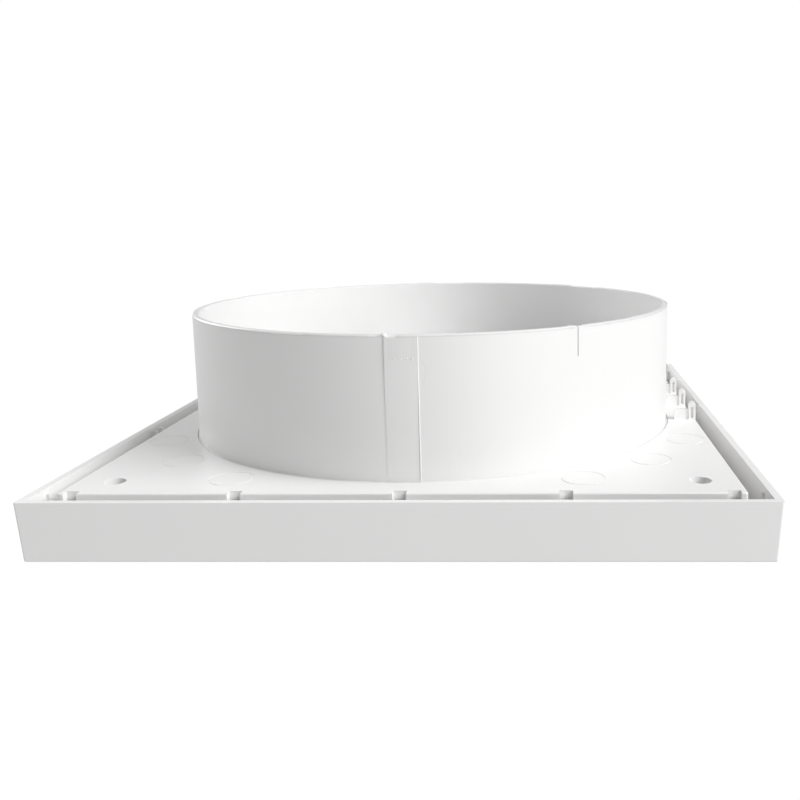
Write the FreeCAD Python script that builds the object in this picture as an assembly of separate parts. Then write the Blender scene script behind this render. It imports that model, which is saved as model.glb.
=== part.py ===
"""Square wall-plate extractor fan with a round duct spigot.

Frame: origin at the centre of the cover's front face, +Z towards the duct, millimetres.
The room is on the -Z side. The cover's open rim and the wall plate's rear face share one plane.
"""
import math
import os

import FreeCAD
import Part

V = FreeCAD.Vector
UP = V(0, 0, 1)

# ---------------------------------------------------------------- driving dimensions
COVER_SIDE = 180.0          # square cover across its open rim
COVER_DEPTH = 15.0
COVER_DRAFT = 0.85          # each side leans in by this much towards the front face
COVER_WALL = 1.9
COVER_FACE = 2.0

PLATE_SIDE = 166.4
PLATE_THICK = 2.2
SKIRT_WALL = 2.0
SKIRT_FRONT = 5.0           # height of the skirt's free edge above the front face

SPIGOT_R = 74.5             # outside of the spigot, for a 150 mm duct
SPIGOT_WALL = 1.8
SPIGOT_TOP = 52.0
SPIGOT_NECK_R = 75.1        # the thicker root that passes through the plate
LIP_BEVEL = 0.35
FLARE_R = 78.0              # outside of the bell mouth that seats under the plate
FLARE_FRONT = 9.3
KEY_WIDTH = 8.25            # four flat strips that run up the spigot
KEY_PROUD = 0.25
SLIT_HALF = 0.2             # a fine slit runs down from the lip
SLIT_DEPTH = 7.8
SLIT_ANGLE = -53

HOLE_SPACING = 147.0        # square pattern of wall screws
HOLE_R = 2.8
NOTCH_PITCH = 40.0
NOTCH_WIDTH = 3.3
NOTCH_DEPTH = 2.0

COMB_Y = (-9.5, 10.5, 30.5)
COMB_RIB_HEIGHT = 3.4
COMB_POST_HEIGHT = 5.7

ARM_FRONT = 5.5             # motor bracket, front and rear planes
ARM_REAR = 9.0
ARM_WIDTH = 7.0
BRACKET_RING_R = 24.0
FOOT_REACH = 86.3           # bracket feet, on the diagonals
SCREW_SEAT = ARM_FRONT + 1.8
SCREW_RECESS_R = 3.2
SCREW_HEAD_R = 3.0
SCREW_HEAD = 1.7
SCREW_SLOT = 0.3            # half width of the cross slot
MOTOR_R = 27.0
MOTOR_FRONT = 10.2
MOTOR_REAR = 28.5
CAN_WALL = 0.9
STACK_FRONT = 15.0
STACK_REAR = 23.0
SHAFT_R = 2.5
SHAFT_RUNNING_GAP = 0.04
SHAFT_FRONT = 7.9
SHAFT_REAR = 39.2
BUSH_R = 5.2
FRONT_BUSH = (8.3, 13.6)    # front and rear faces of each bush
REAR_BUSH = (26.3, 31.1)
BOSS_R = 7.0
MOTOR_SCREW_RING = 19.5
MOTOR_SCREW_R = 1.5
SLEEVE_R = 2.6              # rubber sleeves round the motor screws
LEAD_ARM = 45               # the arm that carries the two leads
AIR_GAP = 0.4
ROTOR_R = 14.0

HUB_R = 31.0
HUB_WALL = 1.6
HUB_FRONT = 14.0
HUB_REAR = 34.6
CLIP_FRONT = 37.6
CLIP_THICK = 0.6
BLADE_COUNT = 7
BLADE_TIP_R = 70.0
BLADE_THICK = 1.7
BLADE_MID_Z = 22.3

WINDOW = 148.0              # opening of the cover frame that the grille sits in
GRILLE_FRONT = 1.2
GRILLE_BORDER = 4.0
GRILLE_REAR = 4.4
SLAT_PITCH = 7.2
SLAT_THICK = 1.3
SLAT_HALF = 2.1             # half width of a slat before the faces trim it
SLAT_LEAN = 32.0            # degrees

FOOT_PAD_R = 4.2
TERMINAL_X = 74.7           # terminal block centre, in one corner of the plate
TERMINAL_Y = 55.0
CABLE_X = 76.3              # cable grommet centre
CABLE_Y = 37.5
CABLE_R = 2.6
GROMMET_WAIST_R = 3.6
GROMMET_RIM_R = 4.5
GROMMET_RIM = 1.0
CLAMP_Y = 43.7
CLAMP_SCREW_X = (70.9, 79.4)
LEAD_R = 0.65

PLATE_REAR = COVER_DEPTH
PLATE_FRONT = PLATE_REAR - PLATE_THICK
SPIGOT_BORE = SPIGOT_R - SPIGOT_WALL
HALF_PLATE = PLATE_SIDE / 2
DIAGONALS = (45, 135, 225, 315)
QUARTERS = (0, 90, 180, 270)


# ---------------------------------------------------------------- small helpers
def box(x0, x1, y0, y1, z0, z1):
    """Block between two corners."""
    return Part.makeBox(x1 - x0, y1 - y0, z1 - z0, V(x0, y0, z0))


def rod(radius, z0, z1, x=0.0, y=0.0):
    """Upright cylinder."""
    return Part.makeCylinder(radius, z1 - z0, V(x, y, z0), UP)


def ring(outer, inner, z0, z1, x=0.0, y=0.0):
    """Upright tube."""
    return rod(outer, z0, z1, x, y).cut(rod(inner, z0 - 1, z1 + 1, x, y))


def square(side, z):
    """Square wire centred on the axis."""
    h = side / 2
    corners = [V(-h, -h, z), V(h, -h, z), V(h, h, z), V(-h, h, z), V(-h, -h, z)]
    return Part.makePolygon(corners)


def turned(shape, degrees):
    """Copy turned about the fan's axis."""
    copy = shape.copy()
    copy.rotate(V(0, 0, 0), UP, degrees)
    return copy


def polar(radius, degrees):
    """Point on a circle about the fan's axis."""
    a = math.radians(degrees)
    return radius * math.cos(a), radius * math.sin(a)


def joined(shapes):
    """One solid from pieces that overlap."""
    shapes = list(shapes)
    return shapes[0].multiFuse(shapes[1:]).removeSplitter()


def group(shapes):
    """Several separate solids in one node."""
    return Part.makeCompound(list(shapes))


def save(name, shape):
    """Writes one node after checking that it is sound."""
    if not shape.isValid():
        raise ValueError(name + " is not a valid shape")
    shape.exportStep("parts/" + name + ".step")
    print(f"{name:22s} {len(shape.Solids):3d} solid(s) {shape.Volume / 1000:8.3f} cm3")


def edges_at(shape, picks):
    """Edges whose middle point satisfies the test."""
    found = []
    for edge in shape.Edges:
        middle = edge.valueAt((edge.FirstParameter + edge.LastParameter) / 2)
        if picks(middle, edge):
            found.append(edge)
    return found


def recessed_screw(x, y, seat, length, head_r, shank_r):
    """Pan-head screw that enters from the front: head below the seat plane, cross slot cut in."""
    top = seat - SCREW_HEAD
    head = rod(head_r, top, seat, x, y)
    head = head.makeFillet(0.5, edges_at(head, lambda m, e: abs(m.z - top) < 0.01 and e.Length > 3))
    shank = rod(shank_r, seat, seat + length, x, y)
    reach = head_r * 0.6
    floor = seat - SCREW_HEAD / 2
    slot_a = box(x - reach, x + reach, y - SCREW_SLOT, y + SCREW_SLOT, top - 0.1, floor)
    slot_b = box(x - SCREW_SLOT, x + SCREW_SLOT, y - reach, y + reach, top - 0.1, floor)
    return head.fuse(shank).removeSplitter().cut(slot_a).cut(slot_b)


# ---------------------------------------------------------------- cover
def cover_frame():
    """Shallow square tray with drafted sides and a square window for the grille."""
    front_side = COVER_SIDE - 2 * COVER_DRAFT
    outer = Part.makeLoft([square(front_side, 0), square(COVER_SIDE, COVER_DEPTH)], True, True)
    outer = outer.makeFillet(0.6, edges_at(outer, lambda m, e: m.z < COVER_DEPTH - 0.1))
    inner_front = front_side - 2 * COVER_WALL
    inner_rear = COVER_SIDE - 2 * COVER_WALL
    hollow = [square(inner_front, COVER_FACE), square(inner_rear, COVER_DEPTH + 0.01)]
    inner = Part.makeLoft(hollow, True, True)
    tray = outer.cut(inner)
    half = WINDOW / 2
    ledge = half - 2.0
    rim = half + 1.5
    tray = tray.fuse(box(-rim, rim, -rim, rim, 1.0, GRILLE_REAR))
    tray = tray.cut(box(-half, half, -half, half, GRILLE_FRONT, GRILLE_REAR + 1))
    tray = tray.cut(box(-ledge, ledge, -ledge, ledge, -1, 5))
    return joined([tray] + cover_ribs(inner_front / 2 + 0.4))


def cover_ribs(wall_inside):
    """Ribs on the inside of the cover's walls: clips, a grip rib by each corner, and a pair at each side."""
    ribs = []
    root = 1.5
    notch_floor = HALF_PLATE - NOTCH_DEPTH + 0.4
    clip = 1.3
    for i in range(-2, 3):
        x = i * NOTCH_PITCH
        for side in (1, -1):
            low, high = sorted((side * notch_floor, side * wall_inside))
            ribs.append(box(x - clip, x + clip, low, high, root, PLATE_FRONT))
    grip = 0.4
    for y in (-79.0, 79.0):
        for side in (1, -1):
            low, high = sorted((side * (wall_inside - 0.5), side * (wall_inside + 0.6)))
            ribs.append(box(low, high, y - grip, y + grip, root, COVER_DEPTH - 1.4))
    pair = 0.6
    for side in (1, -1):
        low, high = sorted((side * (wall_inside - 1.6), side * (wall_inside + 0.6)))
        for y in (19.0 * side, 15.0 * side):
            ribs.append(box(low, high, y - pair, y + pair, root, COVER_DEPTH - 0.8))
    return ribs


def louvre_grille():
    """Flat insert with leaning slats across and three stiffening bars behind them."""
    half = WINDOW / 2 - 0.3
    inside = half - GRILLE_BORDER
    block = box(-half, half, -half, half, GRILLE_FRONT, GRILLE_REAR)
    pieces = [block.cut(box(-inside, inside, -inside, inside, 0, 6))]
    reach = inside + 0.5
    count = int((inside - 2.0) // SLAT_PITCH)
    for i in range(-count, count + 1):
        slat = box(-reach, reach, -SLAT_HALF, SLAT_HALF, -SLAT_THICK / 2, SLAT_THICK / 2)
        slat.rotate(V(0, 0, 0), V(1, 0, 0), SLAT_LEAN)
        slat.translate(V(0, i * SLAT_PITCH, (GRILLE_FRONT + GRILLE_REAR) / 2))
        pieces.append(slat)
    for x in (-NOTCH_PITCH, 0, NOTCH_PITCH):
        pieces.append(box(x - 1.0, x + 1.0, -reach, reach, 3.0, GRILLE_REAR))
    return joined(pieces).common(block)


# ---------------------------------------------------------------- housing
def edge_notches():
    """Cutters for the notches in the two long edges, and the pads that wall them in behind."""
    cutters, pads = [], []
    for i in range(-2, 3):
        x = i * NOTCH_PITCH
        for side in (1, -1):
            low, high = sorted((side * (HALF_PLATE - NOTCH_DEPTH), side * (HALF_PLATE + 1)))
            cutters.append(box(x - NOTCH_WIDTH / 2, x + NOTCH_WIDTH / 2, low, high, 0, PLATE_REAR + 1))
            low, high = sorted((side * (HALF_PLATE - NOTCH_DEPTH - 1.5), side * (HALF_PLATE - 0.5)))
            left = max(x - NOTCH_WIDTH / 2 - 1.4, -HALF_PLATE + 0.2)
            right = min(x + NOTCH_WIDTH / 2 + 1.4, HALF_PLATE - 0.2)
            pads.append(box(left, right, low, high, SKIRT_FRONT, PLATE_REAR - 1))
    return cutters, pads


def comb_tooth(y):
    """Low rib that ends in a round-topped post with a groove in its face."""
    start = math.sqrt((SPIGOT_R + 2.6) ** 2 - y * y)
    rib = box(start, 82.4, y - 0.5, y + 0.5, PLATE_REAR - 0.5, PLATE_REAR + COMB_RIB_HEIGHT)
    post_x = 82.1
    post_top = PLATE_REAR + COMB_POST_HEIGHT
    post = box(post_x - 1.1, post_x + 1.1, y - 0.9, y + 0.9, PLATE_REAR - 0.5, post_top - 1.1)
    cap = Part.makeCylinder(1.1, 1.8, V(post_x, y - 0.9, post_top - 1.1), V(0, 1, 0))
    groove = box(post_x - 0.35, post_x + 0.35, y - 1.0, y - 0.3, PLATE_REAR + 0.6, post_top - 1.6)
    return post.fuse(cap).fuse(rib).removeSplitter().cut(groove)


def witness_marks():
    """Shallow circles left in the rear face by the ejector pins."""
    marks = []
    for x, y in ((44.5, 71.3), (63.5, 54.8), (76.0, 34.0)):
        for sx in (1, -1):
            for sy in (1, -1):
                if sx > 0 and sy > 0:
                    continue
                marks.append(ring(5.65, 5.35, PLATE_REAR - 0.12, PLATE_REAR + 1, sx * x, sy * y))
    return marks


def wall_plate():
    """Square plate with a skirt, screw pillars, bracket pillars and a wire comb."""
    h = HALF_PLATE
    body = box(-h, h, -h, h, SKIRT_FRONT, PLATE_REAR)
    body = body.makeFillet(0.8, edges_at(body, lambda m, e: abs(m.z - (SKIRT_FRONT + PLATE_REAR) / 2) < 0.1))
    body = body.makeFillet(0.45, edges_at(body, lambda m, e: abs(m.z - PLATE_REAR) < 0.01))
    body = body.cut(box(-h + SKIRT_WALL, h - SKIRT_WALL, -h + SKIRT_WALL, h - SKIRT_WALL, 0, PLATE_FRONT))
    cutters, pads = edge_notches()
    pillars = []
    at = HOLE_SPACING / 2
    foot = FOOT_REACH / math.sqrt(2)
    for sx in (1, -1):
        for sy in (1, -1):
            pillars.append(rod(5.0, 9.0, PLATE_FRONT + 0.5, sx * at, sy * at))
            pillars.append(rod(3.6, ARM_REAR, PLATE_FRONT + 0.5, sx * foot, sy * foot))
    for x in CLAMP_SCREW_X:
        pillars.append(rod(1.7, 8.1, PLATE_FRONT + 0.5, x, CLAMP_Y))
    body = joined([body] + pads + pillars + [comb_tooth(y) for y in COMB_Y])
    holes = [rod(SPIGOT_NECK_R, 0, 60), rod(GROMMET_WAIST_R, 0, 60, CABLE_X, CABLE_Y)]
    holes.append(rod(GROMMET_RIM_R, PLATE_REAR - GROMMET_RIM, 60, CABLE_X, CABLE_Y))
    for sx in (1, -1):
        for sy in (1, -1):
            holes.append(rod(HOLE_R, 0, 60, sx * at, sy * at))
            holes.append(rod(1.3, 0, PLATE_FRONT + 1.2, sx * foot, sy * foot))
    for x in CLAMP_SCREW_X:
        holes.append(rod(0.9, 0, PLATE_FRONT + 1.0, x, CLAMP_Y))
    holes.append(rod(1.0, 0, PLATE_FRONT + 1.2, TERMINAL_X, TERMINAL_Y))
    for cutter in cutters + holes + witness_marks():
        body = body.cut(cutter)
    return body


def duct_spigot():
    """Round spigot with a bell mouth that seats under the plate, and four strips up its outside."""
    bell = SPIGOT_BORE + (PLATE_FRONT - FLARE_FRONT)
    mid = math.sqrt(0.5) * (PLATE_FRONT - FLARE_FRONT)
    points = [V(SPIGOT_BORE, 0, PLATE_FRONT), V(SPIGOT_BORE, 0, SPIGOT_TOP),
              V(SPIGOT_R - LIP_BEVEL, 0, SPIGOT_TOP), V(SPIGOT_R, 0, SPIGOT_TOP - LIP_BEVEL),
              V(SPIGOT_R, 0, PLATE_REAR), V(SPIGOT_NECK_R, 0, PLATE_REAR),
              V(SPIGOT_NECK_R, 0, PLATE_FRONT), V(FLARE_R, 0, PLATE_FRONT), V(FLARE_R, 0, FLARE_FRONT),
              V(bell, 0, FLARE_FRONT)]
    edges = [Part.makeLine(a, b) for a, b in zip(points, points[1:])]
    waist = V(bell - mid, 0, PLATE_FRONT - mid)
    edges.append(Part.Arc(points[-1], waist, points[0]).toShape())
    profile = Part.Face(Part.Wire(edges))
    tube = profile.revolve(V(0, 0, 0), UP, 360)
    shell = ring(SPIGOT_R + KEY_PROUD, SPIGOT_R - 0.5, PLATE_REAR, SPIGOT_TOP - LIP_BEVEL)
    strip = shell.common(box(60, 80, -KEY_WIDTH / 2, KEY_WIDTH / 2, 0, SPIGOT_TOP))
    tube = joined([tube] + [turned(strip, a) for a in QUARTERS])
    slit = box(60, 80, -SLIT_HALF, SLIT_HALF, SPIGOT_TOP - SLIT_DEPTH, SPIGOT_TOP + 1)
    return tube.cut(turned(slit, SLIT_ANGLE))


def motor_bracket():
    """Four channelled arms from the plate's corners to a ring that carries the motor."""
    pieces = [rod(BRACKET_RING_R, ARM_FRONT, ARM_REAR)]
    for angle in DIAGONALS:
        arm = box(20, FOOT_REACH, -ARM_WIDTH / 2, ARM_WIDTH / 2, ARM_FRONT, ARM_REAR)
        x, y = polar(FOOT_REACH, angle)
        pieces += [turned(arm, angle), rod(FOOT_PAD_R, ARM_FRONT, ARM_REAR, x, y)]
    body = joined(pieces).cut(rod(8.0, 0, 20))
    for angle in DIAGONALS:
        channel = box(23, FOOT_REACH - 7, -2, 2, 0, ARM_FRONT + 2)
        body = body.cut(turned(channel, angle))
        x, y = polar(FOOT_REACH, angle)
        body = body.cut(rod(1.7, 0, 20, x, y)).cut(rod(SCREW_RECESS_R, 0, SCREW_SEAT, x, y))
    for angle in QUARTERS:
        x, y = polar(MOTOR_SCREW_RING, angle)
        body = body.cut(rod(SLEEVE_R, 0, 20, x, y)).cut(rod(SCREW_RECESS_R, 0, SCREW_SEAT, x, y))
    wire_hole = box(23.9, 27.2, -2, 2, 0, 20)
    wire_exit = box(75.0, 81.3, -4, 0, 0, ARM_FRONT + 2)
    return body.cut(turned(wire_hole, LEAD_ARM)).cut(turned(wire_exit, LEAD_ARM))


def bracket_screws():
    """Four screws, one through each bracket foot."""
    places = [polar(FOOT_REACH, a) for a in DIAGONALS]
    return group(recessed_screw(x, y, SCREW_SEAT, 6.2, SCREW_HEAD_R, 1.3) for x, y in places)


def motor_grommets():
    """Rubber sleeves that keep the motor's hum out of the bracket."""
    out = []
    for angle in QUARTERS:
        x, y = polar(MOTOR_SCREW_RING, angle)
        sleeve = rod(SLEEVE_R, SCREW_SEAT, ARM_REAR, x, y)
        flange = rod(4.2, ARM_REAR, MOTOR_FRONT, x, y)
        out.append(sleeve.fuse(flange).removeSplitter().cut(rod(MOTOR_SCREW_R, 0, 20, x, y)))
    return group(out)


def motor_screws():
    """Four screws through the grommets into the motor's front shield."""
    places = [polar(MOTOR_SCREW_RING, a) for a in QUARTERS]
    return group(recessed_screw(x, y, SCREW_SEAT, 7.2, SCREW_HEAD_R, MOTOR_SCREW_R) for x, y in places)


def motor_front_shield():
    """Front end plate of the motor with the front bearing boss."""
    body = [rod(MOTOR_R, MOTOR_FRONT, MOTOR_FRONT + 1), rod(BOSS_R, 6.4, 13.6)]
    for angle in QUARTERS:
        body.append(rod(3.0, MOTOR_FRONT, STACK_FRONT - 0.2, *polar(MOTOR_SCREW_RING, angle)))
    shield = joined(body).cut(rod(BUSH_R, 0, 40))
    for angle in QUARTERS:
        shield = shield.cut(rod(MOTOR_SCREW_R, 0, 14.5, *polar(MOTOR_SCREW_RING, angle)))
    return shield.cut(turned(box(23.9, 26.1, -2, 2, 0, 20), LEAD_ARM))


def motor_can():
    """Drawn steel cup that holds the stator, with the rear bearing boss."""
    front = MOTOR_FRONT + 1
    cup = rod(MOTOR_R, front, MOTOR_REAR)
    cup = cup.makeFillet(2.0, edges_at(cup, lambda m, e: abs(m.z - MOTOR_REAR) < 0.01))
    cup = cup.cut(rod(MOTOR_R - CAN_WALL, front - 1, MOTOR_REAR - CAN_WALL - 1.2))
    cup = cup.cut(rod(MOTOR_R - CAN_WALL - 1.2, front - 1, MOTOR_REAR - CAN_WALL))
    cup = joined([cup, rod(BOSS_R, MOTOR_REAR - 2.2, 32.0)]).cut(rod(BUSH_R, 0, 40))
    for i in range(8):
        vent = box(12, 20, -1.2, 1.2, MOTOR_REAR - 2, MOTOR_REAR + 1)
        cup = cup.cut(turned(vent, 22.5 + 45 * i))
    return cup


def stator_core():
    """Steel stack with four poles."""
    bore = ROTOR_R + AIR_GAP
    pieces = [ring(MOTOR_R - CAN_WALL, 22.5, STACK_FRONT, STACK_REAR)]
    for angle in DIAGONALS:
        leg = box(bore, 23.5, -3.5, 3.5, STACK_FRONT, STACK_REAR)
        shoe = ring(bore + 1.8, bore, STACK_FRONT, STACK_REAR)
        wedge = Part.makePolygon([V(0, 0, 0), V(30, -18, 0), V(30, 18, 0), V(0, 0, 0)])
        wedge = Part.Face(wedge).extrude(V(0, 0, 40))
        pieces += [turned(leg, angle), turned(shoe.common(wedge), angle)]
    return joined(pieces).cut(rod(bore, 0, 40))


def around_pole(width, height, r0, r1):
    """Block centred on a pole leg, before it is hollowed."""
    middle = (STACK_FRONT + STACK_REAR) / 2
    return box(r0, r1, -width / 2, width / 2, middle - height / 2, middle + height / 2)


def winding_bobbins():
    """Moulded formers, one slipped over each pole leg."""
    core = around_pole(7.0, 8.0, 0, 40)
    spool = around_pole(8.6, 9.6, 16.4, 22.2).fuse(around_pole(13.0, 13.6, 16.4, 16.9))
    spool = spool.fuse(around_pole(13.0, 13.6, 21.7, 22.2)).removeSplitter().cut(core)
    spool = spool.cut(ring(40, 22.4, 0, 40))
    return group(turned(spool, a) for a in DIAGONALS)


def stator_coils():
    """Enamelled copper windings on the bobbins."""
    coil = around_pole(12.8, 13.4, 17.0, 21.6)
    coil = coil.makeFillet(1.4, edges_at(coil, lambda m, e: abs(m.x - 19.3) < 0.5))
    coil = coil.cut(around_pole(8.6, 9.6, 0, 40)).cut(ring(40, 22.4, 0, 40))
    return group(turned(coil, a) for a in DIAGONALS)


def bearing_bush(z0, z1):
    """Sintered bush for the shaft."""
    return ring(BUSH_R, SHAFT_R + SHAFT_RUNNING_GAP, z0, z1)


def oil_felts():
    """Oil-soaked felt rings outboard of the bushes."""
    return group([ring(BUSH_R, SHAFT_R + 0.4, 6.6, 8.2), ring(BUSH_R, SHAFT_R + 0.4, 31.2, 31.9)])


def thermal_fuse():
    """Cut-out tied against one coil."""
    return rod(1.3, STACK_FRONT + 0.3, STACK_REAR + 2.3, *polar(20.6, 90))


# ---------------------------------------------------------------- wiring
def terminal_block():
    """Two-pole block with wire holes from end to end and screw wells on the front."""
    x, y = TERMINAL_X, TERMINAL_Y
    body = box(x - 5.0, x + 5.0, y - 7.5, y + 7.5, 5.9, PLATE_FRONT)
    body = body.makeFillet(0.5, edges_at(body, lambda m, e: abs(m.z - 5.9) < 0.01))
    for px in (x - 2.8, x + 2.8):
        body = body.cut(Part.makeCylinder(1.2, 20, V(px, y - 10, 9.0), V(0, 1, 0)))
        for py in (y - 4.2, y + 4.2):
            body = body.cut(rod(1.4, 0, 8.4, px, py))
    return body.cut(rod(1.2, 0, 20, x, y)).cut(rod(1.9, 0, 7.6, x, y))


def terminal_screws():
    """Four clamping screws in the block's wells."""
    out = []
    for px in (TERMINAL_X - 2.8, TERMINAL_X + 2.8):
        for py in (TERMINAL_Y - 4.2, TERMINAL_Y + 4.2):
            screw = rod(1.35, 6.6, 8.3, px, py)
            out.append(screw.cut(box(px - 2, px + 2, py - 0.25, py + 0.25, 6.0, 7.1)))
    return group(out)


def terminal_fixing_screw():
    """Screw that holds the terminal block to the plate."""
    return recessed_screw(TERMINAL_X, TERMINAL_Y, 7.6, 6.2, 1.8, 1.0)


def terminal_shroud():
    """Lid over the terminal block, with wire slots at both ends."""
    x, y = TERMINAL_X, TERMINAL_Y
    outer = box(x - 6.3, x + 6.3, y - 8.8, y + 9.4, 4.9, PLATE_FRONT)
    outer = outer.makeFillet(0.8, edges_at(outer, lambda m, e: abs(m.z - 8.85) < 0.2))
    shell = outer.cut(box(x - 5.3, x + 5.3, y - 7.8, y + 8.4, 5.7, PLATE_FRONT + 1))
    shell = shell.cut(box(x - 4.4, x + 4.4, y - 10, y - 7, 7.4, PLATE_FRONT + 1))
    return shell.cut(box(x - 8, x + 4.4, y + 8.3, y + 10, 5.7, PLATE_FRONT + 1))


def cable_grommet():
    """Rubber grommet where the supply cable comes through the plate."""
    front_rim = rod(GROMMET_RIM_R, PLATE_FRONT - GROMMET_RIM, PLATE_FRONT, CABLE_X, CABLE_Y)
    rear_rim = rod(GROMMET_RIM_R, PLATE_REAR - GROMMET_RIM, PLATE_REAR, CABLE_X, CABLE_Y)
    body = joined([rod(GROMMET_WAIST_R, PLATE_FRONT, PLATE_REAR, CABLE_X, CABLE_Y), front_rim, rear_rim])
    return body.cut(rod(CABLE_R, 0, 40, CABLE_X, CABLE_Y))


def cable_clamp():
    """Bar that grips the supply cable beside the terminal block."""
    left, right = CLAMP_SCREW_X
    bar = box(left - 1.6, right + 1.6, CLAMP_Y - 1.75, CLAMP_Y + 1.75, 6.6, 8.1)
    hump = box(left + 2.0, right - 2.0, CLAMP_Y - 1.75, CLAMP_Y + 1.75, 8.0, 8.8)
    bar = bar.fuse(hump).removeSplitter()
    for x in CLAMP_SCREW_X:
        bar = bar.cut(rod(1.0, 0, 20, x, CLAMP_Y))
    return bar


def cable_clamp_screws():
    """Two screws for the cable clamp."""
    return group(recessed_screw(x, CLAMP_Y, 6.6, 6.8, 1.6, 0.9) for x in CLAMP_SCREW_X)


def motor_lead(side, level, far_y, pole_x):
    """Insulated wire from the motor, along one arm's channel and into the terminal block."""
    c = math.sqrt(0.5)

    def on_arm(along, z):
        return V(along * c - side * c, along * c + side * c, z)

    in_channel = ARM_FRONT + 1.0
    hole_z = 9.0
    past_shroud = 66.8 - 0.45 * side
    route = [on_arm(25.2, 11.6), on_arm(25.2, in_channel), on_arm(76.8 + 0.8 * side, in_channel),
             V(64.7 - 0.6 * side, 52.2 + 1.1 * side, in_channel), V(past_shroud, 57.0 + 0.7 * side, level),
             V(past_shroud, far_y - 0.6, level), V(pole_x, far_y, hole_z),
             V(pole_x, TERMINAL_Y + 5.5, hole_z)]
    wires = []
    for a, b in zip(route, route[1:]):
        run = b.sub(a)
        wires.append(Part.makeCylinder(LEAD_R, run.Length, a, run))
    for point in route[1:-1]:
        wires.append(Part.makeSphere(LEAD_R, point))
    return joined(wires)


# ---------------------------------------------------------------- rotor
def rotor_shaft():
    """Ground steel shaft with chamfered ends."""
    shaft = rod(SHAFT_R, SHAFT_FRONT, SHAFT_REAR)
    return shaft.makeChamfer(0.4, edges_at(shaft, lambda m, e: e.Length < 16 and abs(m.z - 20) > 5))


def cage_holes():
    """Centres of the squirrel-cage bars."""
    return [polar(12.2, i * 30) for i in range(12)]


def rotor_core():
    """Steel stack of the rotor, pierced for the cage bars."""
    core = ring(ROTOR_R, SHAFT_R, STACK_FRONT - 0.2, STACK_REAR + 0.2)
    for x, y in cage_holes():
        core = core.cut(rod(0.9, 0, 40, x, y))
    return core


def rotor_cage():
    """Cast aluminium cage: two end rings and twelve bars."""
    pieces = [ring(13.6, 10.0, 12.9, STACK_FRONT - 0.2), ring(13.6, 10.0, STACK_REAR + 0.2, 25.1)]
    pieces += [rod(0.9, 13.5, 24.5, x, y) for x, y in cage_holes()]
    return joined(pieces)


def thrust_washers():
    """Washers between the rotor stack and each bush."""
    return group([ring(4.6, SHAFT_R, FRONT_BUSH[1] + 0.2, STACK_FRONT - 0.2),
                  ring(4.6, SHAFT_R, STACK_REAR + 0.2, REAR_BUSH[0] - 0.2)])


def blade_section(radius, chord, pitch, camber):
    """Closed outline of a curved blade, in the plane that stands at this radius."""
    a = math.radians(pitch)
    half = chord / 2

    def place(along, out):
        across = along * math.cos(a) - out * math.sin(a)
        rise = along * math.sin(a) + out * math.cos(a)
        return V(radius, across, BLADE_MID_Z + rise)

    thick = BLADE_THICK / 2
    edge = thick * 0.4
    top = Part.Arc(place(-half, edge), place(0, camber + thick), place(half, edge)).toShape()
    low = Part.Arc(place(half, -edge), place(0, camber - thick), place(-half, -edge)).toShape()
    nose = Part.makeLine(place(half, edge), place(half, -edge))
    tail = Part.makeLine(place(-half, -edge), place(-half, edge))
    return Part.Wire([top, nose, low, tail])


def impeller():
    """Axial impeller: a hub cup that caps the motor from behind, and swept blades."""
    hub = rod(HUB_R, HUB_FRONT, HUB_REAR)
    hub = hub.makeFillet(2.5, edges_at(hub, lambda m, e: abs(m.z - HUB_REAR) < 0.01))
    root = blade_section(radius=28.5, chord=20.0, pitch=42.0, camber=2.2)
    middle = blade_section(radius=45.0, chord=27.0, pitch=33.0, camber=2.6)
    tip = blade_section(radius=71.5, chord=36.0, pitch=22.5, camber=2.8)
    blade = Part.makeLoft([root, middle, tip], True, False)
    blade = blade.common(rod(BLADE_TIP_R, HUB_FRONT + 0.6, 30.4))
    pieces = [hub, rod(6.0, HUB_REAR - 1, CLIP_FRONT)]
    pieces += [turned(blade, 360 / BLADE_COUNT * i) for i in range(BLADE_COUNT)]
    body = joined(pieces)
    body = body.cut(rod(HUB_R - HUB_WALL, 0, HUB_REAR - HUB_WALL))
    return body.cut(rod(SHAFT_R, 0, 60))


def impeller_clip():
    """Push-on star clip that keeps the impeller on its shaft."""
    clip = rod(4.6, CLIP_FRONT, CLIP_FRONT + CLIP_THICK)
    for i in range(6):
        clip = clip.cut(turned(box(1.0, 3.4, -0.35, 0.35, CLIP_FRONT - 1, CLIP_FRONT + 1), 60 * i))
    return clip.cut(rod(SHAFT_R, 0, 60))


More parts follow.
